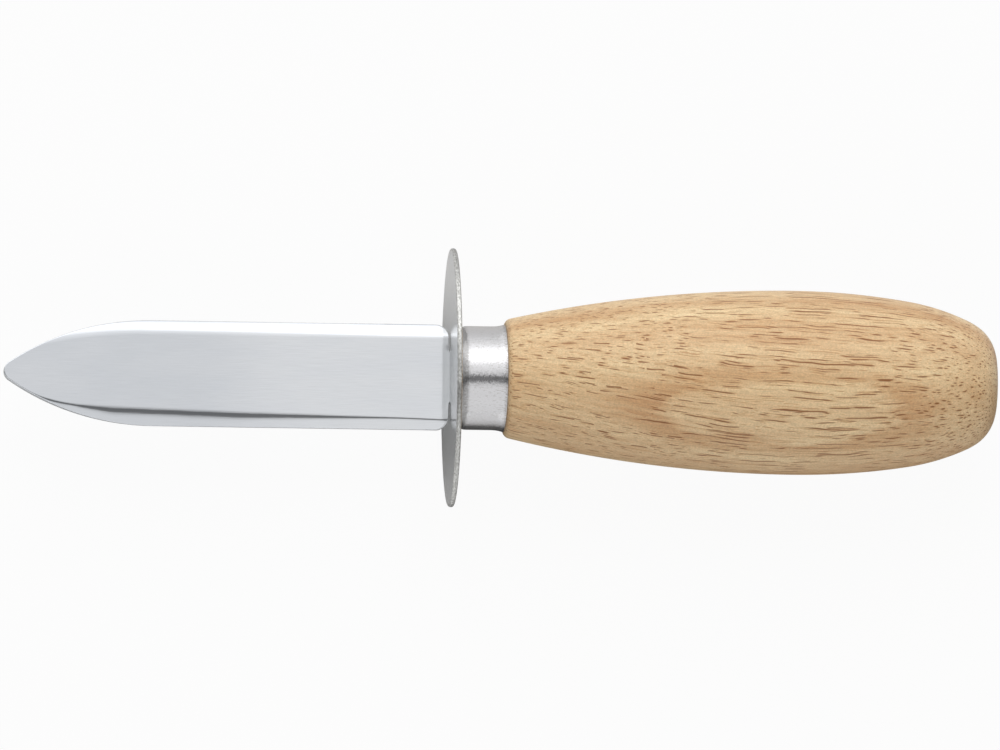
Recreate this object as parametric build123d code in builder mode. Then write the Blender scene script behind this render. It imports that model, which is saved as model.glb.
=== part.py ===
from build123d import *
import math
import os

# Oyster knife, in millimetres. It lies flat along X: the point is at -X and the butt at +X,
# the blade's width is along Y and its flat faces up and down. It rests on Z = 0 with its
# guard's rim and its handle's belly, and the origin is under the middle of its length.

# Blade: one stamping with its tang
blade_length = 72.7
blade_width = 17.3
blade_thickness = 2.0
edge_thickness = 0.5
point_length = 24.3
tip_radius = 1.7
shoulder_radius = 2.2
shoulder_relief = 0.45

# Grinds along the blade's two long edges. An inset is measured in from the straight edge,
# a station along the blade from its tip.
blend_width = 1.5
upper_heel_inset = 2.4
upper_bend_inset = 2.4
upper_bend_station = 24.0
upper_runout_station = 5.0
lower_heel_inset = 1.7
lower_bend_inset = 3.35
lower_bend_station = 13.0
lower_runout_station = 2.0

# Tang, from the shoulders into the handle
tang_width = 8.0
tang_end_width = 5.0
tang_thickness = 1.8
tang_length = 52.0

# Guard: a flat oval plate whose two long sides end in short flats
guard_height = 42.3
guard_width = 30.0
guard_flat = 5.0
guard_thickness = 0.85
guard_rim_share = 0.4
slot_clearance = 0.15

# Ferrule: a drawn cup that covers the handle's neck
ferrule_diameter = 16.9
ferrule_length = 8.05
ferrule_wall = 0.8
ferrule_corner = 1.9
flare_length = 2.0
flare_height = 0.3

# Handle: a turned barrel
handle_length = 80.4
handle_diameter = 30.0
handle_front_diameter = 19.1
handle_front_round = 1.2
neck_clearance = 0.05
neck_end_gap = 0.3
neck_chamfer = 0.6

# The barrel's outline: where it is thickest, as a share of its length, and then the points that
# its rear passes through, as shares of its length and of its diameter, down to the flat butt
belly_share = 0.59
rear_shares = [(0.822, 0.9), (0.944, 0.699), (0.967, 0.626), (1, 0.344)]

# Resin that fills the drilled hole round the tang
resin_wall = 0.4
resin_end = 2.0
resin_gap = 0.05
drill_point_share = 0.3

# How far a cut runs past the surface that it opens, and a curved grind past its run-out
overrun = 1.0
grind_sweep_share = 1.25

# Stations along X and the height of the knife's axis
overall_length = blade_length + guard_thickness + ferrule_length + handle_length
tip_x = -overall_length / 2
guard_front_x = tip_x + blade_length
guard_back_x = guard_front_x + guard_thickness
barrel_front_x = guard_back_x + ferrule_length
butt_x = barrel_front_x + handle_length
tang_end_x = guard_front_x + tang_length
axis_height = max(guard_width, handle_diameter) / 2

mid_plane = Plane.XY.offset(axis_height)
knife_axis = Axis((0, 0, axis_height), (1, 0, 0))

half_blade = blade_width / 2
half_thickness = blade_thickness / 2
half_tang = tang_width / 2
half_tang_thickness = tang_thickness / 2
grind_depth = (blade_thickness - edge_thickness) / 2

# The point's two sides are arcs, tangent to the straight edges and to the rounded tip
point_x = tip_x + point_length
point_run = point_length - tip_radius
point_radius = (point_run**2 + half_blade**2 - tip_radius**2) / (blade_width - 2 * tip_radius)
tip_angle = math.degrees(math.atan2(point_radius - half_blade, point_run))


def edge_height(station):
    """How far the blade's outline stands from its centre line, on one side of the point."""
    back = point_length - station
    return half_blade - point_radius + math.sqrt(point_radius**2 - back**2)


# The tang's upper half, from the shoulder to its end
tang_outline = [
    (guard_front_x, half_tang),
    (barrel_front_x, half_tang),
    (tang_end_x, tang_end_width / 2),
    (tang_end_x, 0),
]

# Which side of the blade, insets at the heel and the bend, stations of the bend and the run-out
grinds = [
    (1, upper_heel_inset, upper_bend_inset, upper_bend_station, upper_runout_station),
    (-1, lower_heel_inset, lower_bend_inset, lower_bend_station, lower_runout_station),
]

with BuildPart() as blade:
    with BuildSketch(mid_plane):
        with BuildLine():
            tip = CenterArc((tip_x + tip_radius, 0), tip_radius, 180, -tip_angle)
            side = TangentArc(tip @ 1, (point_x, half_blade), tangent=tip % 1)
            edge = Line(side @ 1, (guard_front_x - shoulder_radius, half_blade))
            corner = TangentArc(
                edge @ 1,
                (guard_front_x - shoulder_relief, half_blade - shoulder_radius),
                tangent=edge % 1,
            )
            Polyline(corner @ 1, (guard_front_x, half_tang), (guard_front_x, 0))
            mirror(about=Plane.XZ)
        make_face()
    extrude(amount=half_thickness, both=True)
    with BuildSketch(mid_plane):
        with BuildLine():
            Polyline(*tang_outline)
            mirror(about=Plane.XZ)
            Line((guard_front_x, half_tang), (guard_front_x, -half_tang))
        make_face()
    extrude(amount=half_tang_thickness, both=True)

    # Each grind is a wedge that runs straight along the edge and then curves in to the point,
    # where it runs out
    for way, heel_inset, bend_inset, bend_station, runout_station in grinds:
        bend = Vector(tip_x + bend_station, way * (half_blade - bend_inset))
        heel = Vector(guard_front_x, way * (half_blade - heel_inset))
        runout = Vector(tip_x + runout_station, way * edge_height(runout_station))
        along = (heel - bend).normalized()
        outward = along.rotate(Axis.Z, way * 90)
        back = (bend - runout).dot(along)
        drop = (bend - runout).dot(outward)
        grind_radius = (back**2 + drop**2) / (2 * drop)
        grind_arc = 2 * math.degrees(math.atan2(drop, back)) * grind_sweep_share
        centre = bend - outward * grind_radius
        slope = grind_depth / (max(heel_inset, bend_inset) - blend_width / 2)
        reach = half_blade
        for face in (1, -1):
            up = face * way
            lift = Vector(0, 0, axis_height + face * half_thickness)
            section = Plane(origin=bend + lift, x_dir=outward, z_dir=along)
            with BuildSketch(section) as wedge:
                with BuildLine():
                    Polyline(
                        (0, 0),
                        (blend_width, -up * slope * blend_width / 2),
                        (reach, -up * slope * (reach - blend_width / 2)),
                        (reach, up * overrun),
                        (0, up * overrun),
                        close=True,
                    )
                make_face()
            extrude(wedge.sketch, amount=(heel - bend).length + overrun, mode=Mode.SUBTRACT)
            revolve(
                wedge.sketch,
                axis=Axis(centre + lift, (0, 0, way)),
                revolution_arc=grind_arc,
                mode=Mode.SUBTRACT,
            )

# Slots that the tang passes through
slot_width = tang_width + 2 * slot_clearance
slot_thickness = tang_thickness + 2 * slot_clearance

# The oval's width before its flats are cut
oval_width = guard_width / math.sqrt(1 - (guard_flat / guard_height) ** 2)

with BuildPart() as guard_plate:
    with BuildSketch(Plane.YZ.offset(guard_front_x)):
        with Locations((0, axis_height)):
            Ellipse(guard_height / 2, oval_width / 2)
            Rectangle(guard_height, guard_width, mode=Mode.INTERSECT)
    extrude(amount=guard_thickness)
    rims = guard_plate.faces().filter_by(Axis.X)
    fillet(rims.edges(), radius=guard_rim_share * guard_thickness)
    with BuildSketch(Plane.YZ.offset(guard_front_x)):
        with Locations((0, axis_height)):
            Rectangle(slot_width, slot_thickness)
    extrude(amount=guard_thickness, mode=Mode.SUBTRACT)

ferrule_radius = ferrule_diameter / 2
ferrule_bore_radius = ferrule_radius - ferrule_wall
inner_corner = ferrule_corner - ferrule_wall

with BuildPart() as ferrule:
    with BuildSketch(mid_plane):
        with BuildLine():
            end_wall = Line((guard_back_x, 0), (guard_back_x, ferrule_radius - ferrule_corner))
            corner = TangentArc(
                end_wall @ 1, (guard_back_x + ferrule_corner, ferrule_radius), tangent=end_wall % 1
            )
            inside = Polyline(
                corner @ 1,
                (barrel_front_x - flare_length, ferrule_radius),
                (barrel_front_x, ferrule_radius + flare_height),
                (barrel_front_x, ferrule_bore_radius + flare_height),
                (barrel_front_x - flare_length, ferrule_bore_radius),
                (guard_back_x + ferrule_corner, ferrule_bore_radius),
            )
            inner = TangentArc(
                inside @ 1,
                (guard_back_x + ferrule_wall, ferrule_bore_radius - inner_corner),
                tangent=(-1, 0),
            )
            Polyline(inner @ 1, (guard_back_x + ferrule_wall, 0), (guard_back_x, 0))
        make_face()
    revolve(axis=knife_axis)
    with BuildSketch(Plane.YZ.offset(guard_back_x)):
        with Locations((0, axis_height)):
            Rectangle(slot_width, slot_thickness)
    extrude(amount=ferrule_wall, mode=Mode.SUBTRACT)

neck_front_x = guard_back_x + ferrule_wall + neck_end_gap
neck_radius = ferrule_bore_radius - neck_clearance
handle_radius = handle_diameter / 2
bore_radius = math.hypot(half_tang, half_tang_thickness) + resin_wall
bore_end_x = tang_end_x + resin_end
drill_point = drill_point_share * 2 * bore_radius

with BuildPart() as handle:
    with BuildSketch(mid_plane):
        with BuildLine():
            neck = Polyline(
                (neck_front_x, 0),
                (neck_front_x, neck_radius - neck_chamfer),
                (neck_front_x + neck_chamfer, neck_radius),
                (barrel_front_x, neck_radius),
                (barrel_front_x, handle_front_diameter / 2),
            )
            belly = (barrel_front_x + belly_share * handle_length, handle_radius)
            TangentArc(belly, neck @ 1, tangent=(-1, 0))
            start, direction = belly, (1, 0)
            for along_share, across_share in rear_shares:
                stop = (
                    barrel_front_x + along_share * handle_length,
                    across_share * handle_radius,
                )
                rear = TangentArc(start, stop, tangent=direction)
                start, direction = rear @ 1, rear % 1
            Polyline(start, (butt_x, 0), (neck_front_x, 0))
        barrel = make_face()
        fillet(
            barrel.vertices().sort_by_distance(
                (barrel_front_x, handle_front_diameter / 2)
            )[0],
            radius=handle_front_round,
        )
    revolve(axis=knife_axis)
    with BuildSketch(mid_plane):
        with BuildLine():
            Polyline(
                (neck_front_x, 0),
                (neck_front_x, bore_radius),
                (bore_end_x, bore_radius),
                (bore_end_x + drill_point, 0),
                close=True,
            )
        make_face()
    revolve(axis=knife_axis, mode=Mode.SUBTRACT)

with BuildPart() as tang_adhesive:
    with BuildSketch(mid_plane):
        with BuildLine():
            Polyline(
                (neck_front_x, 0),
                (neck_front_x, bore_radius - resin_gap),
                (bore_end_x, bore_radius - resin_gap),
                (bore_end_x + drill_point - 2 * resin_gap, 0),
                close=True,
            )
        make_face()
    revolve(axis=knife_axis)
    with BuildSketch(mid_plane):
        with BuildLine():
            Polyline(*tang_outline)
            mirror(about=Plane.XZ)
            Line((guard_front_x, half_tang), (guard_front_x, -half_tang))
        make_face()
        offset(amount=resin_gap)
    extrude(amount=half_tang_thickness + resin_gap, both=True, mode=Mode.SUBTRACT)

blade.part.label = "blade"
guard_plate.part.label = "guard_plate"
ferrule.part.label = "ferrule"
handle.part.label = "handle"
tang_adhesive.part.label = "tang_adhesive"

os.makedirs("parts", exist_ok=True)
for piece in (blade, guard_plate, ferrule, handle, tang_adhesive):
    export_step(piece.part, f"parts/{piece.part.label}.step")
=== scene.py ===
import math
import bmesh
import bpy
from mathutils import Matrix, Vector


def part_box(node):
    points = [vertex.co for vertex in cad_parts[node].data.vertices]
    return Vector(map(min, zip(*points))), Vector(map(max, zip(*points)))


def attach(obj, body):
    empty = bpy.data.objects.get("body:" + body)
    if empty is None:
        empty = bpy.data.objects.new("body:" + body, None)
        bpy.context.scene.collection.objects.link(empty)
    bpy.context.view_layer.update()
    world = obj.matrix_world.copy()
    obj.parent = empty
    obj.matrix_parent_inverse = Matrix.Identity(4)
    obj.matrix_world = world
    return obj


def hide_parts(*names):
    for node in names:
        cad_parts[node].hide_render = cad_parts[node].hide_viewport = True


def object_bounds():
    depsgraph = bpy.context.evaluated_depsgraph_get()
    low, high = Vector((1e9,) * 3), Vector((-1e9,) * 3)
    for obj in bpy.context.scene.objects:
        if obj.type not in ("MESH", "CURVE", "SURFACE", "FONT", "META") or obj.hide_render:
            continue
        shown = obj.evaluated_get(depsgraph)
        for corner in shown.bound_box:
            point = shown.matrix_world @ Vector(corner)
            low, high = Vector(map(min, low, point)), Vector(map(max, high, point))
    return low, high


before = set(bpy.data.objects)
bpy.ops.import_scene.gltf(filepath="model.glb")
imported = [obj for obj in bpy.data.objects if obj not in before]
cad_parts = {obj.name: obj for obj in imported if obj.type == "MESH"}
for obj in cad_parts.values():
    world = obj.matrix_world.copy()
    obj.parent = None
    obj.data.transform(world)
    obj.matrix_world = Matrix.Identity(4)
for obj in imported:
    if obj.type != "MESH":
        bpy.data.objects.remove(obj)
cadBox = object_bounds()
print("frame loaded")

mm = 0.001
mergeDistance = 0.0004 * mm
bladeLow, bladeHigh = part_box("blade")
guardLow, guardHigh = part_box("guard_plate")
ferruleLow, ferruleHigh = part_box("ferrule")
handleLow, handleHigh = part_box("handle")
axisZ = (bladeLow.z + bladeHigh.z) / 2          # height of the knife's axis over the floor
tipX, buttX = cadBox[0].x, cadBox[1].x
guardFrontX, guardBackX = guardLow.x, guardHigh.x
barrelFrontX = ferruleHigh.x


# Small helpers for numbers, objects and node trees

def limited(value):
    return min(max(value, 0), 1)


def addObject(name, data):
    thing = bpy.data.objects.new(name, data)
    bpy.context.scene.collection.objects.link(thing)
    return thing


def turnTo(thing, rotation):
    thing.rotation_mode = "QUATERNION"
    thing.rotation_quaternion = rotation


def setInputs(tree, node, inputs):
    for key, value in inputs.items():
        if isinstance(value, bpy.types.NodeSocket):
            tree.links.new(value, node.inputs[key])
        else:
            node.inputs[key].default_value = value


def addNode(tree, kind, inputs=None, **settings):
    node = tree.nodes.new("ShaderNode" + kind)
    for key, value in settings.items():
        setattr(node, key, value)
    setInputs(tree, node, inputs or {})
    return node


def maths(tree, operation, *values):
    return addNode(tree, "Math", dict(enumerate(values)), operation=operation).outputs[0]


def mapRange(tree, value, low, high, toLow=0.0, toHigh=1.0, smooth=False):
    inputs = {"Value": value, "From Min": low, "From Max": high, "To Min": toLow, "To Max": toHigh}
    kind = "SMOOTHSTEP" if smooth else "LINEAR"
    return addNode(tree, "MapRange", inputs, interpolation_type=kind).outputs[0]


def spread(tree, noise, toLow=0.0, toHigh=1.0):
    # nearly all of a noise lies between 0.3 and 0.7
    return mapRange(tree, noise, 0.3, 0.7, toLow, toHigh)


def mixColour(tree, factor, a, b, blend="MIX"):
    inputs = {0: factor, 6: a, 7: b}
    return addNode(tree, "Mix", inputs, data_type="RGBA", blend_type=blend).outputs[2]


def splitVector(tree, vector):
    return addNode(tree, "SeparateXYZ", {0: vector}).outputs


def splitColour(tree, colour):
    return addNode(tree, "SeparateColor", {0: colour}).outputs


def greyOf(tree, level):
    return addNode(tree, "CombineColor", {0: level, 1: level, 2: level}).outputs[0]


def greyRamp(tree, value, stops, interpolation="LINEAR"):
    # stops are (position, level), the first of them at 0
    ramp = addNode(tree, "ValToRGB", {0: value})
    elements = ramp.color_ramp.elements
    ramp.color_ramp.interpolation = interpolation
    elements.remove(elements[1])
    for position, level in stops:
        element = elements[0] if position == 0 else elements.new(position)
        element.color = (level, level, level, 1)
    return ramp.outputs[0]


def noiseAt(tree, vector, sizes, detail=2.0, output=0):
    # noise whose grains are as long as the sizes, in the vector's own units
    scale = [1 / size for size in sizes]
    scaled = addNode(tree, "Mapping", {"Vector": vector, "Scale": scale}).outputs[0]
    inputs = {"Vector": scaled, "Scale": 1.0, "Detail": detail}
    return addNode(tree, "TexNoise", inputs).outputs[output]


def grain(tree, place, sizes, detail=2.0):
    # noise over a place in metres, with its grains in mm
    return noiseAt(tree, place, [size * mm for size in sizes], detail)


def bumpOf(tree, height, strength, distance):
    inputs = {"Strength": strength, "Distance": distance * mm, "Height": height}
    return addNode(tree, "Bump", inputs).outputs[0]


def newMaterial(name):
    material = bpy.data.materials.new(name)
    material.use_nodes = True
    tree = material.node_tree
    shader = tree.nodes["Principled BSDF"]
    place = addNode(tree, "TexCoord").outputs["Object"]
    return material, tree, shader, place


def srgb(*levels):
    def linear(level):
        v = level / 255
        return v / 12.92 if v <= 0.04045 else ((v + 0.055) / 1.055) ** 2.4
    return (*(linear(level) for level in levels), 1.0)


# Small helpers for meshes

def only(items, kind):
    return [item for item in items if isinstance(item, kind)]


def finishPiece(name, bm, material, node, sharpAngle):
    bmesh.ops.remove_doubles(bm, verts=bm.verts, dist=mergeDistance)
    bmesh.ops.recalc_face_normals(bm, faces=bm.faces)
    mesh = bpy.data.meshes.new(name)
    bm.to_mesh(mesh)
    bm.free()
    for face in mesh.polygons:
        face.use_smooth = True
    mesh.set_sharp_from_angle(angle=math.radians(sharpAngle))
    mesh.materials.append(material)
    piece = addObject(name, mesh)
    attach(piece, "root")
    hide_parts(node)
    print(name, "made,", len(mesh.polygons), "faces")


def arcPoints(start, stop, heading, steps):
    # points of the arc that leaves start at the heading and ends at stop, and its last heading
    dx, dy = stop[0] - start[0], stop[1] - start[1]
    chord = math.hypot(dx, dy)
    half = (math.atan2(dy, dx) - heading + math.pi) % math.tau - math.pi
    points = []
    for step in range(1, steps + 1):
        turn = half * step / steps
        reach = chord * math.sin(turn) / math.sin(half)
        angle = heading + turn
        points.append((start[0] + reach * math.cos(angle), start[1] + reach * math.sin(angle)))
    return points, heading + 2 * half


def wrapGrid(bm, rows, columns, place):
    # a grid whose vertices go to place(row, column)
    grid = bmesh.ops.create_grid(bm, x_segments=rows, y_segments=columns, size=1)
    for vert in grid["verts"]:
        row, column = (vert.co.x + 1) / 2 * rows, (1 - vert.co.y) / 2 * columns
        vert.co = place(round(row), round(column))


def spinProfile(profile, steps):
    # profile is a list of (x, radius) round the knife's axis
    bm = bmesh.new()
    verts = [bm.verts.new((x, 0, axisZ + radius)) for x, radius in profile]
    edges = [bm.edges.new(pair) for pair in zip(verts, verts[1:])]
    bmesh.ops.spin(bm, geom=verts + edges, cent=(0, 0, axisZ), axis=(1, 0, 0), angle=math.tau,
                   steps=steps, use_merge=True, use_duplicate=False)
    return bm


# Camera: above the knife, leaning a little towards its point and towards the image's bottom

camera = {
    "distance": 4.0,
    "pointLean": 5.2,        # degrees from straight above the knife
    "sideLean": 7.0,
    "roll": 0.866,           # degrees, the knife dips to the right
    "frameWidth": 0.16284,   # what the frame's width covers at the knife's axis
    "centreY": 0.00056,
    "sensor": 36.0,
    "clip": (0.05, 50.0),
}


def placeCamera():
    eye = addObject("camera", bpy.data.cameras.new("camera"))
    pointLean, sideLean, roll = (math.radians(camera[key]) for key in ("pointLean", "sideLean", "roll"))
    side = Vector((0, math.cos(sideLean), math.sin(sideLean)))
    back = Vector((-math.sin(pointLean), 0, 0))
    back += Vector((0, -side.z, side.y)) * math.cos(pointLean)
    up = side * math.cos(roll) - side.cross(back) * math.sin(roll)
    eye.location = Vector((0, camera["centreY"], axisZ)) + back * camera["distance"]
    turnTo(eye, Matrix((up.cross(back), up, back)).transposed().to_quaternion())
    eye.data.sensor_width = camera["sensor"]
    eye.data.lens = camera["sensor"] * camera["distance"] / camera["frameWidth"]
    eye.data.clip_start, eye.data.clip_end = camera["clip"]
    bpy.context.scene.camera = eye


placeCamera()
print("camera placed")


# Studio: a pale floor that the metal sees with painted shade and light, a pale room that is dark round
# the camera, and two soft lamps

studio = {
    "floorSize": 8.0,
    "floorColour": (0.6, 0.6, 0.6, 1.0),
    "whiteShare": 0.945,     # how white the camera sees the floor
    "glossyShare": 0.01,     # and how white the metal does
    # mm across the floor, and how bright the metal sees it there, as a share of its colour: painted
    # shade under the knife and painted light further out
    "paintedFloorShades": [(-50, 1.4), (-24, 1.2), (-16, 1.15), (-10, 0.9), (-4, 0.75), (6, 0.85),
                    (12, 1.15), (18, 1.32), (50, 1.25)],
    # painted shade: behind the guard the metal sees the floor darker, and darker still beside the
    # handle
    "paintedShadeBehindGuard": 0.82,     # the share of that which is left behind the guard
    "paintedHandleShadow": 0.22,     # and beside the handle, in a painted shadow of the knife
    # mm across the floor where that painted shadow starts, is full, is still full and has ended
    "paintedShadowAcross": (-29, -20, 0, 4),
    # degrees from straight up towards the image's top, and how bright the room is there
    "roomBands": [(-90, 0.7), (-60, 0.73), (-45, 0.71), (-30, 0.73), (-23, 0.67), (-17, 0.5),
                  (-13, 0.165), (-4, 0.145), (1, 0.5), (6, 0.72), (12, 0.81), (21, 0.9),
                  (30, 1.2), (38, 1.6), (50, 1.45), (60, 1.26), (68, 1.0), (78, 0.84), (90, 0.72)],
    "roomTop": 1.6,
    "endFade": (0.45, 0.85, 0.7),     # shares of x over which the room dims to its ends, and to what
    "diffuseShare": 0.5,              # how much of the room's light falls on what isn't metal
    "lampSize": (1.1, 0.5),
    "lampDistance": 1.0,
    # name, watts, and degrees from straight up towards the image's top
    "lamps": [("softKey", 7.7, 48.0), ("softFill", 4.1, -60.0)],
}


def floorWithPaintedShade(tree, place):
    # the floor as the metal sees it, with painted shade under the knife, behind its guard and beside
    # its handle
    shades = studio["paintedFloorShades"]
    nearest, farthest = shades[0][0], shades[-1][0]
    along, across, _ = splitVector(tree, place)
    level = studio["floorColour"][0]
    stops = [((at - nearest) / (farthest - nearest), level * shade) for at, shade in shades]
    bands = greyRamp(tree, mapRange(tree, across, nearest * mm, farthest * mm), stops)
    start, full, still, end = (reach * mm for reach in studio["paintedShadowAcross"])
    entered, notLeft = mapRange(tree, across, start, full), mapRange(tree, across, end, still)
    inPaintedShadow = maths(tree, "MULTIPLY", entered, notLeft)
    behind = mapRange(tree, inPaintedShadow, 0, 1, studio["paintedShadeBehindGuard"], studio["paintedHandleShadow"])
    left = mapRange(tree, along, guardFrontX, guardBackX, 1, behind)
    return mixColour(tree, 1.0, bands, greyOf(tree, left), "MULTIPLY")


def makeFloor():
    bm = bmesh.new()
    bmesh.ops.create_grid(bm, x_segments=1, y_segments=1, size=studio["floorSize"] / 2)
    mesh = bpy.data.meshes.new("floor")
    bm.to_mesh(mesh)
    bm.free()
    floor = addObject("floor", mesh)
    material, tree, shader, place = newMaterial("paleFloor")
    tree.nodes.remove(shader)
    path = addNode(tree, "LightPath").outputs
    # only the metal sees the floor's painted shade and light
    tint = mixColour(tree, path["Is Glossy Ray"], studio["floorColour"], floorWithPaintedShade(tree, place))
    diffuse = addNode(tree, "BsdfDiffuse", {"Color": tint}).outputs[0]
    white = addNode(tree, "Emission", {"Color": (1, 1, 1, 1), "Strength": 1.0}).outputs[0]
    seen = maths(tree, "MULTIPLY", path["Is Camera Ray"], studio["whiteShare"])
    share = maths(tree, "MULTIPLY_ADD", path["Is Glossy Ray"], studio["glossyShare"], seen)
    mix = addNode(tree, "MixShader", {0: share, 1: diffuse, 2: white}).outputs[0]
    setInputs(tree, tree.nodes["Material Output"], {"Surface": mix})
    mesh.materials.append(material)


def makeRoom():
    world = bpy.data.worlds.new("room")
    bpy.context.scene.world = world
    world.use_nodes = True
    tree = world.node_tree
    tree.nodes.clear()
    direction = addNode(tree, "TexCoord").outputs["Generated"]
    lengthways, across, _ = splitVector(tree, direction)
    top = studio["roomTop"]
    stops = [((math.sin(math.radians(angle)) + 1) / 2, level / top)
             for angle, level in studio["roomBands"]]
    bands = greyRamp(tree, maths(tree, "MULTIPLY_ADD", across, 0.5, 0.5), stops, "EASE")
    path = addNode(tree, "LightPath").outputs
    near, far, faded = studio["endFade"]
    level = mapRange(tree, maths(tree, "ABSOLUTE", lengthways), near, far, top, top * faded)
    share = mapRange(tree, path["Is Diffuse Ray"], 0, 1, 1, studio["diffuseShare"])
    level = maths(tree, "MULTIPLY", level, share)
    room = addNode(tree, "Background", {"Color": bands, "Strength": level}).outputs[0]
    white = addNode(tree, "Background", {"Color": (1, 1, 1, 1), "Strength": 1.0}).outputs[0]
    mix = addNode(tree, "MixShader", {0: path["Is Camera Ray"], 1: room, 2: white}).outputs[0]
    addNode(tree, "OutputWorld", {"Surface": mix})


def makeLamps():
    for name, power, angle in studio["lamps"]:
        data = bpy.data.lights.new(name, "AREA")
        data.shape = "RECTANGLE"
        data.size, data.size_y = studio["lampSize"]
        data.energy = power
        lamp = addObject(name, data)
        towards = Vector((0, math.sin(math.radians(angle)), math.cos(math.radians(angle))))
        lamp.location = towards * studio["lampDistance"] + Vector((0, 0, axisZ))
        turnTo(lamp, towards.to_track_quat("Z", "X"))
        lamp.visible_camera = False
        lamp.visible_glossy = False       # the metal reflects the room's own bright band


makeFloor()
makeRoom()
makeLamps()
bpy.context.scene.view_settings.view_transform = "Standard"
print("studio lit")


# Blade's material: fine lines along the blade, soft clouds, a few specks, and a painted reflection that
# pales towards the heel

bladeLook = {
    # two colours each, between which the clouds go; the darker pair at the point and the paler pair at
    # the heel are a painted reflection
    "pointPairPaintedDarker": ((0.8, 0.83, 0.875, 1), (0.845, 0.87, 0.91, 1)),
    "heelPairPaintedPaler": ((0.9, 0.925, 0.965, 1), (0.935, 0.955, 0.985, 1)),
    "paintedPaling": (28.0, 50.0),     # mm from the point over which it turns paler
    "darkest": (0.5, 0.51, 0.53, 1),
    "roughness": (0.05, 0.09),
    # grains of the noises in mm
    "satin": (4.0, 0.12, 4.0),
    "cloud": (14.0, 5.0, 14.0),
    "speck": (0.5, 0.4, 0.5),
    "ripple": (3.0, 0.5, 3.0),
    "lineShare": 0.09,          # how dark the satin's lines are
    "markRange": (0.76, 0.84),  # the part of the specks' noise that shows as marks
    "markShare": 0.3,
    "rippleHeight": 1.5,        # next to the satin's 1
    "bump": (0.12, 0.02),       # strength, and height in mm
}


def bladeSteel():
    material, tree, shader, place = newMaterial("satinBladeSteel")
    satin = grain(tree, place, bladeLook["satin"])
    cloud = grain(tree, place, bladeLook["cloud"], 3)
    speck = grain(tree, place, bladeLook["speck"])
    ripple = grain(tree, place, bladeLook["ripple"], 3)
    along = splitVector(tree, place)[0]
    # painted reflection: the face turns paler from the point towards the heel
    paintedPaler = mapRange(tree, along, *(tipX + mm * reach for reach in bladeLook["paintedPaling"]), smooth=True)
    mottle = spread(tree, cloud)
    ends = [mixColour(tree, mottle, *bladeLook[key]) for key in ("pointPairPaintedDarker", "heelPairPaintedPaler")]
    lines = spread(tree, satin, 0.0, bladeLook["lineShare"])
    marks = mapRange(tree, speck, *bladeLook["markRange"])
    darker = maths(tree, "MULTIPLY_ADD", marks, bladeLook["markShare"], lines)
    height = maths(tree, "MULTIPLY_ADD", ripple, bladeLook["rippleHeight"], satin)
    setInputs(tree, shader, {
        "Metallic": 1.0,
        "Base Color": mixColour(tree, darker, mixColour(tree, paintedPaler, *ends), bladeLook["darkest"]),
        "Roughness": spread(tree, satin, *bladeLook["roughness"]),
        "Normal": bumpOf(tree, height, *bladeLook["bump"]),
    })
    return material


# Guard's material: tumbled faces, and a rim with fine hatching

guardLook = {
    "face": ((0.83, 0.84, 0.835, 1), (0.91, 0.915, 0.91, 1)),
    "tumbled": (0.5, 0.5, 0.5, 1),
    "rim": ((0.42, 0.42, 0.4, 1), (0.86, 0.86, 0.84, 1)),
    "grazing": (0.78, 0.78, 0.78, 1),
    "rimRange": (0.972, 0.99),      # where the rim starts and is full, as shares of the oval
    "roughness": (0.16, 0.24),
    "rimRoughness": 0.08,           # how much rougher the rim is
    # grains of the noises in mm
    "cloud": (4.0, 4.0, 4.0),
    "tumble": (0.5, 0.25, 0.25),
    "hatch": (0.2, 0.45, 0.45),
    "tumbleRange": (0.35, 0.7),
    "tumbleShare": 0.25,
    "tumbleHeight": 0.4,            # next to the clouds' 1
    "hatchHeight": 0.6,
    "bump": (0.25, 0.05),           # strength, and height in mm
}


def guardSteel():
    material, tree, shader, place = newMaterial("tumbledGuardSteel")
    cloud = grain(tree, place, guardLook["cloud"], 3)
    tumble = grain(tree, place, guardLook["tumble"])
    hatch = grain(tree, place, guardLook["hatch"])
    # the distance from the guard's middle, which is 1 at the oval's outline
    acrossScale, upScale = 2 / (guardHigh.y - guardLow.y), 2 / (guardHigh.z - guardLow.z)
    centring = {"Vector": place, "Scale": (0, acrossScale, upScale),
                "Location": (0, 0, -axisZ * upScale)}
    centred = addNode(tree, "Mapping", centring).outputs[0]
    outward = addNode(tree, "VectorMath", {0: centred}, operation="LENGTH").outputs["Value"]
    rim = mapRange(tree, outward, *guardLook["rimRange"])
    face = mixColour(tree, spread(tree, cloud), *guardLook["face"])
    worn = mapRange(tree, tumble, *guardLook["tumbleRange"], 0.0, guardLook["tumbleShare"])
    face = mixColour(tree, worn, face, guardLook["tumbled"])
    edge = mixColour(tree, spread(tree, hatch), *guardLook["rim"])
    rough = spread(tree, cloud, *guardLook["roughness"])
    height = maths(tree, "MULTIPLY_ADD", tumble, guardLook["tumbleHeight"], cloud)
    rimHatch = maths(tree, "MULTIPLY", rim, hatch)
    height = maths(tree, "MULTIPLY_ADD", rimHatch, guardLook["hatchHeight"], height)
    setInputs(tree, shader, {
        "Metallic": 1.0,
        "Specular Tint": guardLook["grazing"],
        "Base Color": mixColour(tree, rim, face, edge),
        "Roughness": maths(tree, "MULTIPLY_ADD", rim, guardLook["rimRoughness"], rough),
        "Normal": bumpOf(tree, height, *guardLook["bump"]),
    })
    return material


# Ferrule's material: turned rings, scuffs, painted shade in the corner by the guard, and a darkening at
# the mouth

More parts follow.
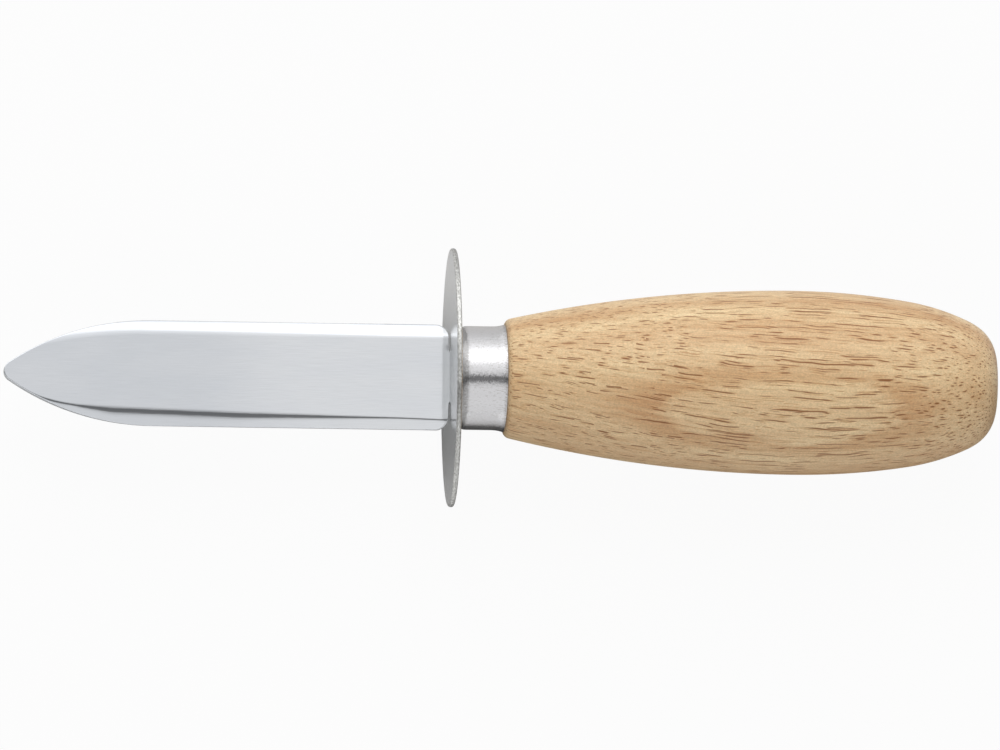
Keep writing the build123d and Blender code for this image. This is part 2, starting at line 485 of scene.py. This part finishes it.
ferruleLook = {
    "bright": (0.84, 0.835, 0.85, 1),
    "scuffed": (0.5, 0.47, 0.44, 1),
    # the colour of the painted shade in the corner and of the darkening at the mouth
    "shadeAndDarkeningColour": (0.22, 0.2, 0.18, 1),
    "roughness": (0.06, 0.13),
    "scuffRoughness": 0.08,
    # grains of the noises in mm
    "rings": (0.25, 25.0, 25.0),
    "cloud": (2.6, 2.6, 2.6),
    "scuff": (0.5, 0.22, 0.22),
    "ragged": (0.25, 0.8, 0.8),
    "cornerPaintedShade": (2.1, 1.2),       # mm behind the guard, where the painted shade starts and is full
    "mouthDarkening": (0.7, 0.1),        # and mm before the mouth
    "shadeAndDarkeningRange": (0.3, 0.6),        # how the scuffs' noise breaks the painted shade and the darkening up
    "shadeAndDarkeningLevels": (0.25, 0.8),
    "shadeAndDarkeningShare": 0.6,
    "wornLength": 3.0,              # mm before the mouth where it wears more, and how much more
    "wornMore": 0.08,
    "scuffRange": (0.56, 0.76),
    "scuffShare": 0.45,
    # heights next to the clouds' 1
    "ringHeight": 0.3,
    "scuffHeight": 0.1,
    "raggedHeight": 2.5,
    "bump": (0.5, 0.03),            # strength, and height in mm
}


def ferruleMetal():
    material, tree, shader, place = newMaterial("drawnFerruleMetal")
    rings = grain(tree, place, ferruleLook["rings"])
    cloud = grain(tree, place, ferruleLook["cloud"], 3)
    scuff = grain(tree, place, ferruleLook["scuff"], 3)
    ragged = grain(tree, place, ferruleLook["ragged"])
    along = splitVector(tree, place)[0]
    # painted shade in the corner behind the guard, and a darkening just before the mouth
    cornerEnds = [guardBackX + reach * mm for reach in ferruleLook["cornerPaintedShade"]]
    mouthEnds = [barrelFrontX - reach * mm for reach in ferruleLook["mouthDarkening"]]
    ends = [mapRange(tree, along, *reach, smooth=True) for reach in (cornerEnds, mouthEnds)]
    broken = mapRange(tree, scuff, *ferruleLook["shadeAndDarkeningRange"], *ferruleLook["shadeAndDarkeningLevels"])
    paintedShadeAndDarkening = maths(tree, "MULTIPLY", maths(tree, "ADD", *ends), broken)
    nearMouth = mapRange(tree, along, barrelFrontX - ferruleLook["wornLength"] * mm, barrelFrontX)
    worn = maths(tree, "MULTIPLY_ADD", nearMouth, ferruleLook["wornMore"], scuff)
    scuffed = mapRange(tree, worn, *ferruleLook["scuffRange"], 0.0, ferruleLook["scuffShare"])
    tint = mixColour(tree, scuffed, ferruleLook["bright"], ferruleLook["scuffed"])
    paintedShadeAndDarkening = maths(tree, "MULTIPLY", paintedShadeAndDarkening, ferruleLook["shadeAndDarkeningShare"])
    rough = spread(tree, cloud, *ferruleLook["roughness"])
    height = cloud
    for noise, key in ((rings, "ringHeight"), (scuff, "scuffHeight"), (ragged, "raggedHeight")):
        height = maths(tree, "MULTIPLY_ADD", noise, ferruleLook[key], height)
    setInputs(tree, shader, {
        "Metallic": 1.0,
        "Base Color": mixColour(tree, paintedShadeAndDarkening, tint, ferruleLook["shadeAndDarkeningColour"]),
        "Roughness": maths(tree, "MULTIPLY_ADD", scuff, ferruleLook["scuffRoughness"], rough),
        "Normal": bumpOf(tree, height, *ferruleLook["bump"]),
    })
    return material


# Handle's material: pale wood with growth layers and short dark pores. Lengths are in mm, places
# along the handle are counted from its front, and each noise has its grains' lengths.

woodLook = {
    "swellShare": 0.62,        # how far the fibres follow the barrel's swelling
    "bellyAt": 47.0,
    "swellCurve": 1.8e-4,      # the radius falls off as this times the square of mm from the belly
    "leastSwell": 0.2,         # the least share of the belly's radius
    "sideDrift": (0.17, 0.015, 37.0, 4.0),    # slope at the front and at the butt, turn and its blend
    "depthDrift": 0.012,
    "waves": ((30.0, 10.0, 1.6), (7.0, 2.5, 0.95), (2.4, 1.0, 0.2)),   # length, width and height
    "poreTurn": (22.0, 42.0),  # where the pores grow from their length at the front to that at the butt
    "moreTurn": (22.0, 50.0),  # and where more of them open
    "moreOpen": 0.03,
    # how many to a mm, radius as a share of their spacing, lengths at the front and at the butt
    "pores": (2.0, 0.26, (2.8, 12.0)),
    "dots": (3.4, 0.27, (1.6, 6.0)),
    "openRange": (0.42, 0.5),  # the noise along a pore at which it opens
    "poreSizes": (0.5, 1.05),
    "poreSpacing": (900.0, 500.0),     # how far apart their own noises are taken
    "leastReach": 0.001,
    # nearness at which a pore, a finer pore and the stain round a pore start and are full
    "poreEdge": (1.0, 0.6),
    "dotEdge": (1.0, 0.5),
    "haloEdge": (2.0, 0.9),
    "layerLean": 27.0,         # degrees that the growth layers lean towards the image's bottom
    "layerTop": 15.0,          # from the axis to the outermost layer
    "uneven": ((22.0, 7.0, 7.0), 1.6),        # grains and height
    "ragged": ((9.0, 0.8, 0.8), 0.8),
    # depth below the outermost layer, and how far the wood there is from cream to tan
    "layers": [(0.0, 0.16), (0.85, 0.2), (1.2, 1.0), (1.9, 0.9), (2.7, 0.5), (4.0, 0.36), (5.0, 0.55),
               (6.0, 0.42), (7.4, 0.66), (9.0, 0.34), (10.0, 0.08), (11.5, 0.42), (13.2, 0.9),
               (14.4, 0.5), (16.0, 0.2), (20.0, 0.4), (30.0, 0.3)],
    "layerShare": 0.6,
    "broad": (40.0, 6.0, 6.0),
    "broadTones": (-0.08, 0.32),
    "streak": (25.0, 0.9, 0.9),
    "streakTones": (-0.14, 0.18),
    "strand": (2.2, 0.22, 0.22),
    "strandRange": (0.25, 0.75),
    "strandShades": (0.9, 1.09),
    "speck": (0.32, 0.24, 0.24),
    "speckShades": (-0.14, 0.13),
    "cream": srgb(229, 204, 161),
    "tan": srgb(189, 144, 99),
    "poreColour": srgb(128, 78, 38),
    "haloColour": srgb(176, 125, 75),
    "haloShare": 0.4,
    "dotShare": 0.75,
    "poreShare": 0.92,
    "roughness": (0.42, 0.52),
    "coat": 0.2,
    "coatRoughness": 0.3,
    "strandHeight": 0.25,      # next to the pores' depth of 1
    "bump": (0.5, 0.06),       # strength, and height
}


def woodFibres(tree, centred):
    # the fibres spread with the barrel, drift across it and wave
    along, side, depth = splitVector(tree, centred)
    off = maths(tree, "SUBTRACT", along, woodLook["bellyAt"])
    fall = maths(tree, "MULTIPLY", maths(tree, "MULTIPLY", off, off), woodLook["swellCurve"])
    left = maths(tree, "MAXIMUM", maths(tree, "SUBTRACT", 1.0, fall), woodLook["leastSwell"])
    swell = maths(tree, "POWER", left, -woodLook["swellShare"])
    frontSlope, rearSlope, turnAt, blend = woodLook["sideDrift"]
    frontDrift = maths(tree, "MULTIPLY", along, frontSlope)
    rearDrift = maths(tree, "MULTIPLY_ADD", along, rearSlope, turnAt * (frontSlope - rearSlope))
    drift = maths(tree, "SMOOTH_MIN", frontDrift, rearDrift, blend)
    fibreSide = maths(tree, "MULTIPLY_ADD", side, swell, drift)
    drift = maths(tree, "MULTIPLY", off, woodLook["depthDrift"])
    fibreDepth = maths(tree, "MULTIPLY_ADD", depth, swell, drift)
    for length, width, height in woodLook["waves"]:
        wave = noiseAt(tree, centred, (length, width, width), 1, "Color")
        sway, bob, _ = splitColour(tree, wave)
        fibreSide = maths(tree, "MULTIPLY_ADD", sway, height, fibreSide)
        fibreDepth = maths(tree, "MULTIPLY_ADD", bob, height, fibreDepth)
    return fibreSide, fibreDepth


def woodLayers(tree, centred, fibre):
    # growth layers are flat, leaning and a little uneven, so the barrel's surface cuts them in ovals
    _, side, depth = splitVector(tree, centred)
    lean = math.radians(woodLook["layerLean"])
    level = maths(tree, "MULTIPLY_ADD", side, math.sin(lean), woodLook["layerTop"])
    level = maths(tree, "MULTIPLY_ADD", depth, -math.cos(lean), level)
    for vector, key in ((centred, "uneven"), (fibre, "ragged")):
        sizes, height = woodLook[key]
        lower = maths(tree, "SUBTRACT", level, height / 2)
        level = maths(tree, "MULTIPLY_ADD", noiseAt(tree, vector, sizes), height, lower)
    deepest = woodLook["layers"][-1][0]
    stops = [(below / deepest, tone) for below, tone in woodLook["layers"]]
    return greyRamp(tree, maths(tree, "DIVIDE", level, deepest), stops)


def woodPores(tree, section, along, perMm, radius, runs):
    # how near a place is to a pore, in radii: pores are long tubes along the fibres that open and
    # close on their way, one to a cell of the section
    run = mapRange(tree, along, *woodLook["poreTurn"], *runs)
    inputs = {"Vector": section, "Scale": perMm}
    cells = addNode(tree, "TexVoronoi", inputs, voronoi_dimensions="2D", feature="F1").outputs
    chance = splitColour(tree, cells["Color"])
    apart = [maths(tree, "MULTIPLY", chance[i], woodLook["poreSpacing"][i]) for i in (0, 1)]
    own = addNode(tree, "CombineXYZ", {0: maths(tree, "DIVIDE", along, run), 1: apart[0], 2: apart[1]})
    more = mapRange(tree, along, *woodLook["moreTurn"], 0.0, woodLook["moreOpen"])
    opening = maths(tree, "ADD", noiseAt(tree, own.outputs[0], (1.0, 1.0, 1.0), 1), more)
    opening = mapRange(tree, opening, *woodLook["openRange"], smooth=True)
    size = mapRange(tree, chance[2], 0.0, 1.0, *woodLook["poreSizes"])
    reach = maths(tree, "MULTIPLY", maths(tree, "MULTIPLY", opening, size), radius)
    reach = maths(tree, "MAXIMUM", reach, woodLook["leastReach"])
    return maths(tree, "DIVIDE", cells["Distance"], reach)


def paleWood():
    material, tree, shader, place = newMaterial("palePoredWood")
    # mm from the middle of the barrel's front
    centring = {"Vector": place, "Scale": (1 / mm,) * 3,
                "Location": (-barrelFrontX / mm, 0, -axisZ / mm)}
    centred = addNode(tree, "Mapping", centring).outputs[0]
    along = splitVector(tree, centred)[0]
    fibreSide, fibreDepth = woodFibres(tree, centred)
    fibre = addNode(tree, "CombineXYZ", {0: along, 1: fibreSide, 2: fibreDepth}).outputs[0]
    section = addNode(tree, "CombineXYZ", {0: fibreSide, 1: fibreDepth}).outputs[0]
    layers = woodLayers(tree, centred, fibre)
    poreNearness = woodPores(tree, section, along, *woodLook["pores"])
    dotNearness = woodPores(tree, section, along, *woodLook["dots"])
    pore = mapRange(tree, poreNearness, *woodLook["poreEdge"], smooth=True)
    dot = mapRange(tree, dotNearness, *woodLook["dotEdge"], smooth=True)
    halo = mapRange(tree, poreNearness, *woodLook["haloEdge"], smooth=True)

    # colour: growth layers, broad clouds and streaks, then fine strands and specks, then pores
    broad = noiseAt(tree, fibre, woodLook["broad"], 3)
    streak = noiseAt(tree, fibre, woodLook["streak"], 3)
    strand = noiseAt(tree, fibre, woodLook["strand"])
    speck = noiseAt(tree, centred, woodLook["speck"], 3)
    tone = spread(tree, broad, *woodLook["broadTones"])
    tone = maths(tree, "MULTIPLY_ADD", layers, woodLook["layerShare"], tone)
    tone = maths(tree, "ADD", tone, spread(tree, streak, *woodLook["streakTones"]))
    base = mixColour(tree, tone, woodLook["cream"], woodLook["tan"])
    strandShade = mapRange(tree, strand, *woodLook["strandRange"], *woodLook["strandShades"])
    shade = maths(tree, "ADD", strandShade, spread(tree, speck, *woodLook["speckShades"]))
    base = mixColour(tree, 1.0, base, greyOf(tree, shade), "MULTIPLY")
    for mark, share, colour in ((halo, "haloShare", "haloColour"), (dot, "dotShare", "haloColour"),
                                (pore, "poreShare", "poreColour")):
        base = mixColour(tree, maths(tree, "MULTIPLY", mark, woodLook[share]), base, woodLook[colour])

    height = maths(tree, "SUBTRACT", maths(tree, "MULTIPLY", strand, woodLook["strandHeight"]), pore)
    setInputs(tree, shader, {
        "Base Color": base,
        "Roughness": mapRange(tree, strand, *woodLook["strandRange"], *woodLook["roughness"]),
        "Coat Weight": woodLook["coat"],
        "Coat Roughness": woodLook["coatRoughness"],
        "Normal": bumpOf(tree, height, *woodLook["bump"]),
    })
    return material


# Resin's material: cloudy amber

resinLook = {
    "cloud": (3.0, 3.0, 3.0),       # grains in mm
    "dark": srgb(186, 160, 104),
    "pale": srgb(214, 190, 138),
    "roughness": 0.3,
}


def curedResin():
    material, tree, shader, place = newMaterial("curedResin")
    cloud = grain(tree, place, resinLook["cloud"], 3)
    tint = mixColour(tree, cloud, resinLook["dark"], resinLook["pale"])
    setInputs(tree, shader, {"Base Color": tint, "Roughness": resinLook["roughness"]})
    return material


# Blade: a grid that follows the outline, pressed to the ground section and doubled downwards

blade = {
    "width": 17.3 * mm,
    "thickness": 2.0 * mm,
    "edge": 0.5 * mm,
    "point": 24.3 * mm,
    "tipRadius": 1.7 * mm,
    "shoulderRadius": 2.2 * mm,
    "shoulderRelief": 0.2 * mm,     # how far the shoulders fall back from the guard
    "reliefRun": 0.4 * mm,          # and over which width beside the tang
    "round": 0.12 * mm,             # of the outline's edges
    # heel's inset, bend's inset, bend's and run-out's distance from the point
    "upperGrind": (2.4 * mm, 2.4 * mm, 24.0 * mm, 5.0 * mm),
    "lowerGrind": (1.7 * mm, 3.35 * mm, 13.0 * mm, 2.0 * mm),
    "blend": 1.9 * mm,              # how wide the crease between face and grind is rounded midway
    # mm from the point, and how many mm wide it is there
    "upperBlends": [(5.0, 3.0), (24.0, 1.9), (38.0, 1.9), (64.0, 1.1)],
    "lowerBlends": [(11.0, 0.6), (17.5, 1.9), (38.0, 1.9), (64.0, 0.35)],
    "tangWidth": 8.0 * mm,
    "tangEndWidth": 5.0 * mm,
    "tangThickness": 1.8 * mm,
    "tangRun": 0.9 * mm,            # over which the face sinks to the tang
    "rootGap": 0.05 * mm,           # beside the tang, before the shoulders fall back and the face rises
    "rootBlend": 1.5 * mm,          # how far beside the tang the face sinks with it
    "sharpAngle": 50,
    # grid steps: from the centre line to the edge, over the edge's rounding, and along the outline
    "columns": 58,
    "roundSteps": 4,
    "tipSteps": 12,
    "sideSteps": 56,
    "straightSteps": 30,
    "shoulderSteps": 12,
}
halfBlade = blade["width"] / 2
halfTang = blade["tangWidth"] / 2
pointRun = blade["point"] - blade["tipRadius"]
pointRise = pointRun**2 + halfBlade**2 - blade["tipRadius"] ** 2
pointRadius = pointRise / (blade["width"] - 2 * blade["tipRadius"])
tipAngle = math.atan2(pointRadius - halfBlade, pointRun)


def arcRows(centre, radius, start, end, steps, first=1):
    # (point, outward normal) along an arc of the outline
    rows = []
    for step in range(first, steps + 1):
        angle = start + (end - start) * step / steps
        normal = Vector((math.cos(angle), math.sin(angle)))
        rows.append((centre + normal * radius, normal))
    return rows


def bladeOutline():
    # upper half of the outline from the tip to the shoulder
    square = math.pi / 2
    sideStart = math.pi - tipAngle
    cornerX = guardFrontX - blade["shoulderRadius"]
    sideX = tipX + blade["point"]
    tipCentre = Vector((tipX + blade["tipRadius"], 0))
    sideCentre = Vector((sideX, halfBlade - pointRadius))
    cornerCentre = Vector((cornerX, halfBlade - blade["shoulderRadius"]))
    rows = arcRows(tipCentre, blade["tipRadius"], math.pi, sideStart, blade["tipSteps"], 0)
    rows += arcRows(sideCentre, pointRadius, sideStart, square, blade["sideSteps"])
    for step in range(1, blade["straightSteps"] + 1):
        x = sideX + (cornerX - sideX) * step / blade["straightSteps"]
        rows.append((Vector((x, halfBlade)), Vector((0, 1))))
    rows += arcRows(cornerCentre, blade["shoulderRadius"], square, 0, blade["shoulderSteps"])
    return rows


def blendAt(blends, x):
    station = (x - tipX) / mm
    for (start, first), (end, last) in zip(blends, blends[1:]):
        if station < end:
            return mm * (first + (last - first) * max((station - start) / (end - start), 0))
    return mm * blends[-1][1]


def grindDepth(x, y):
    # how deep the grinding has cut at a place on the blade's face
    way, part = (1, "upper") if y > 0 else (-1, "lower")
    heelInset, bendInset, bendAt, runoutAt = blade[part + "Grind"]
    bend = Vector((tipX + bendAt, way * (halfBlade - bendInset)))
    heel = Vector((guardFrontX, way * (halfBlade - heelInset)))
    back = blade["point"] - runoutAt
    runoutY = halfBlade - pointRadius + math.sqrt(pointRadius**2 - back**2)
    runout = Vector((tipX + runoutAt, way * runoutY))
    along = (heel - bend).normalized()
    outward = Vector((-along.y, along.x)) * way
    run, drop = (bend - runout).dot(along), (bend - runout).dot(outward)
    radius = (run**2 + drop**2) / (2 * drop)
    place = Vector((x, y))
    if (place - bend).dot(along) > 0:
        inset = (place - bend).dot(outward)
    else:
        inset = (place - bend + outward * radius).length - radius
    if inset <= 0:
        return 0.0
    cut = (blade["thickness"] - blade["edge"]) / 2
    slope = cut / (max(heelInset, bendInset) - blade["blend"] / 2)
    blend = blendAt(blade[part + "Blends"], x)
    if inset < blend:
        return slope * inset**2 / (2 * blend)
    return slope * (inset - blend / 2)


def bladePoint(rows, row, column, count):
    # column 0 is the outline at mid thickness, then come its rounded edge and the face, and the
    # rows past the outline's last go round the heel's edge
    steps, edgeRound = blade["roundSteps"], blade["round"]
    side = 1 if column <= count / 2 else -1
    step = min(column, count - column)
    heelStep = row - (len(rows) - 1)
    point, normal = rows[min(row, len(rows) - 1)]
    angle = math.pi / 2 * limited(min(step - 1, steps - heelStep) / steps)
    inset = edgeRound * (1 - math.cos(angle))
    flat = point - normal * inset
    flat.y *= 1 - max(step - steps - 1, 0) / blade["columns"]
    besideTang = flat.y - halfTang - blade["rootGap"]
    back = limited(besideTang / blade["reliefRun"])
    near = limited((flat.x - guardFrontX) / blade["shoulderRadius"] + 1)
    flat.x -= blade["shoulderRelief"] * back * near
    face = blade["thickness"] / 2 - grindDepth(flat.x, side * flat.y)
    reach = (flat.x - guardFrontX) / blade["tangRun"] + 1
    if reach > 0:
        beside = limited(besideTang / blade["rootBlend"])
        sunk = 1 - beside * beside * (3 - 2 * beside)
        face -= (blade["thickness"] - blade["tangThickness"]) / 2 * min(reach, 1) * sunk
        edgeRound *= 1 - sunk
    height = face - edgeRound + edgeRound * math.sin(angle)
    if step == 0 or heelStep > steps:
        height = 0.0
    return Vector((flat.x, side * flat.y, height))


def growTang(bm):
    # the tang grows out of the middle of the heel
    rootX, rootY = guardFrontX - blade["rootGap"], halfTang + blade["rootGap"]
    root = [face for face in bm.faces if face.normal.x > 0.99
            and all(vert.co.x > rootX and abs(vert.co.y) < rootY for vert in face.verts)]
    stations = [(0.0, blade["tangWidth"]), (barrelFrontX - guardFrontX, blade["tangWidth"]),
                (bladeHigh.x - guardFrontX, blade["tangEndWidth"])]
    for reach, width in stations:
        if reach > 0:
            grown = bmesh.ops.extrude_face_region(bm, geom=root)["geom"]
            bmesh.ops.delete(bm, geom=root, context="FACES")
            root = only(grown, bmesh.types.BMFace)
        verts = {vert for face in root for vert in face.verts}
        scaleY = width / 2 / max(abs(vert.co.y) for vert in verts)
        scaleZ = blade["tangThickness"] / 2 / max(abs(vert.co.z - axisZ) for vert in verts)
        for vert in verts:
            z = axisZ + (vert.co.z - axisZ) * scaleZ
            vert.co = (guardFrontX + reach, vert.co.y * scaleY, z)


def makeBlade():
    rows = bladeOutline()
    count = 2 * (blade["columns"] + blade["roundSteps"] + 1)
    bm = bmesh.new()
    wrapGrid(bm, len(rows) + blade["roundSteps"], count,
             lambda row, column: bladePoint(rows, row, column, count))
    copied = bmesh.ops.duplicate(bm, geom=bm.verts[:] + bm.edges[:] + bm.faces[:])["geom"]
    for vert in only(copied, bmesh.types.BMVert):
        vert.co.z = -vert.co.z
    bmesh.ops.remove_doubles(bm, verts=bm.verts, dist=mergeDistance)
    bmesh.ops.dissolve_degenerate(bm, edges=bm.edges, dist=mergeDistance)
    bmesh.ops.translate(bm, verts=bm.verts, vec=(0, 0, axisZ))
    bmesh.ops.recalc_face_normals(bm, faces=bm.faces)
    growTang(bm)
    finishPiece("bladeGround", bm, bladeSteel(), "blade", blade["sharpAngle"])


makeBlade()


# Guard: rings from the slot over the front face, round the rim and back

guard = {
    "rimRound": 0.34 * mm,
    "flat": 5.0 * mm,               # length of the flat on each long side
    "slotWidth": 8.3 * mm,
    "slotThickness": 1.84 * mm,     # closes on the tang
    "faceInsets": (9.0, 5.0, 2.0, 1.0, 0.6),      # rings on the flat face, mm in from the rim
    "segments": 192,
    "rimSteps": 6,
    "sharpAngle": 60,
}


def makeGuard():
    halfY, halfZ = (guardHigh.y - guardLow.y) / 2, (guardHigh.z - guardLow.z) / 2
    halfSlotY, halfSlotZ = guard["slotWidth"] / 2, guard["slotThickness"] / 2
    ovalZ = halfZ / math.sqrt(1 - (guard["flat"] / 2 / halfY) ** 2)
    thickness, rim = guardBackX - guardFrontX, guard["rimRound"]
    # each ring is its inset from the rim, none for the slot's outline, and its depth
    rings = [(None, 0.0)] + [(inset * mm, 0.0) for inset in guard["faceInsets"]]
    for step in range(guard["rimSteps"] + 1):
        angle = math.pi / 2 * step / guard["rimSteps"]
        rings.append((rim * (1 - math.sin(angle)), rim * (1 - math.cos(angle))))
    rings += [(inset, thickness - x) for inset, x in reversed(rings)] + [(None, 0.0)]

    def place(row, column):
        inset, x = rings[row]
        angle = math.tau * (column % guard["segments"]) / guard["segments"]
        y, z = math.cos(angle), math.sin(angle)
        if inset is None:
            reach = min(halfSlotY / max(abs(y), 1e-9), halfSlotZ / max(abs(z), 1e-9))
            return Vector((guardFrontX + x, y * reach, axisZ + z * reach))
        lift = max(inset - halfZ, min(halfZ - inset, z * (ovalZ - inset)))
        return Vector((guardFrontX + x, y * (halfY - inset), axisZ + lift))

    bm = bmesh.new()
    wrapGrid(bm, len(rings) - 1, guard["segments"], place)
    finishPiece("guardOval", bm, guardSteel(), "guard_plate", guard["sharpAngle"])


makeGuard()


# Ferrule: a cup spun round the axis

ferrule = {
    "wall": 0.8 * mm,
    "corner": 1.9 * mm,
    "flareLength": 2.0 * mm,
    "flareHeight": 0.3 * mm,
    "lip": (0.15 * mm, 0.02 * mm),        # where the flare ends, before the mouth and below the lip
    "lipRound": (0.04 * mm, 0.05 * mm),   # the lip's small round, back from the mouth and down its face
    # rings that keep the flat stretches flat: before and after the corner, and before the flare
    "cornerRings": (0.6 * mm, 0.4 * mm),
    "flareRing": 0.3 * mm,
    "segments": 160,
    "cornerSteps": 10,
    "flareSteps": 8,
    "sharpAngle": 45,
}


def makeFerrule():
    outer = (ferruleHigh.y - ferruleLow.y) / 2 - ferrule["flareHeight"]
    corner, wall = ferrule["corner"], ferrule["wall"]
    before, after = ferrule["cornerRings"]
    profile = [(guardBackX, 0), (guardBackX, outer - corner - before), (guardBackX, outer - corner)]
    cornerEnd = (guardBackX + corner, outer)
    profile += arcPoints(profile[-1], cornerEnd, math.pi / 2, ferrule["cornerSteps"])[0]
    flareX = barrelFrontX - ferrule["flareLength"]
    profile += [(guardBackX + corner + after, outer), (flareX - ferrule["flareRing"], outer),
                (flareX, outer)]
    lip = outer + ferrule["flareHeight"]
    flareEnd = (barrelFrontX - ferrule["lip"][0], lip - ferrule["lip"][1])
    profile += arcPoints(profile[-1], flareEnd, 0, ferrule["flareSteps"])[0]
    roundBack, roundDown = ferrule["lipRound"]
    profile += [(barrelFrontX - roundBack, lip), (barrelFrontX, lip - roundDown),
                (barrelFrontX, lip - wall), (flareX, outer - wall),
                (guardBackX + corner, outer - wall), (guardBackX + wall, outer - corner),
                (guardBackX + wall, 0)]
    bm = spinProfile(profile, ferrule["segments"])
    finishPiece("ferruleCup", bm, ferruleMetal(), "ferrule", ferrule["sharpAngle"])


makeFerrule()


# Handle: a turned barrel with its neck and the drilled hole

handle = {
    "frontRadius": 9.55 * mm,
    "frontRound": 1.2 * mm,
    # the belly's place as a share of the barrel's length, and then the points that its rear passes
    # through, as shares of its length and of its radius
    "bellyShare": 0.59,
    "rearShares": [(0.822, 0.9), (0.944, 0.699), (0.967, 0.626), (1, 0.344)],
    "neckRadius": 7.6 * mm,
    "neckChamfer": 0.6 * mm,
    "boreRadius": 4.5 * mm,
    "boreEnd": 2.0 * mm,        # past the tang's end
    "drillPoint": 2.7 * mm,
    # rings that keep the front face and the butt flat
    "frontRing": 0.2 * mm,
    "buttRing": 0.3 * mm,
    "segments": 192,
    "roundSteps": 10,
    "hullSteps": 40,
    "rearSteps": 14,
    "sharpAngle": 45,
}


def makeHandle():
    length, radius = buttX - barrelFrontX, (handleHigh.z - handleLow.z) / 2
    neckX, neckRadius, chamfer = handleLow.x, handle["neckRadius"], handle["neckChamfer"]
    boreEndX, boreRadius = bladeHigh.x + handle["boreEnd"], handle["boreRadius"]
    profile = [(boreEndX + handle["drillPoint"], 0), (boreEndX, boreRadius), (neckX, boreRadius),
               (neckX, neckRadius - chamfer), (neckX + chamfer, neckRadius), (barrelFrontX, neckRadius)]
    # the hull is an arc from the belly to the front, and the round meets the front face and the hull
    belly = (barrelFrontX + handle["bellyShare"] * length, radius)
    run, drop = belly[0] - barrelFrontX, radius - handle["frontRadius"]
    hullRadius = (run**2 + drop**2) / (2 * drop)
    inner = hullRadius - handle["frontRound"]
    roundX = barrelFrontX + handle["frontRound"]
    roundY = radius - hullRadius + math.sqrt(inner**2 - (belly[0] - roundX) ** 2)
    meet = (belly[0] + (roundX - belly[0]) * hullRadius / inner,
            radius - hullRadius + (roundY - radius + hullRadius) * hullRadius / inner)
    profile += [(barrelFrontX, roundY - handle["frontRing"]), (barrelFrontX, roundY)]
    profile += arcPoints(profile[-1], meet, math.pi / 2, handle["roundSteps"])[0]
    profile += arcPoints(belly, meet, math.pi, handle["hullSteps"])[0][-2::-1] + [belly]
    heading = 0.0
    for along, across in handle["rearShares"]:
        stop = (barrelFrontX + along * length, across * radius)
        points, heading = arcPoints(profile[-1], stop, heading, handle["rearSteps"])
        profile += points
    buttRadius = profile[-1][1]
    profile += [(buttX, buttRadius - handle["buttRing"]), (buttX, buttRadius / 2), (buttX, 0)]
    bm = spinProfile(profile, handle["segments"])
    finishPiece("handleBarrel", bm, paleWood(), "handle", handle["sharpAngle"])


makeHandle()

# The resin keeps its solid from the frame, and only gets its look
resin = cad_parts["tang_adhesive"]
resinMaterial = curedResin()
for slot in resin.material_slots:
    slot.material = resinMaterial
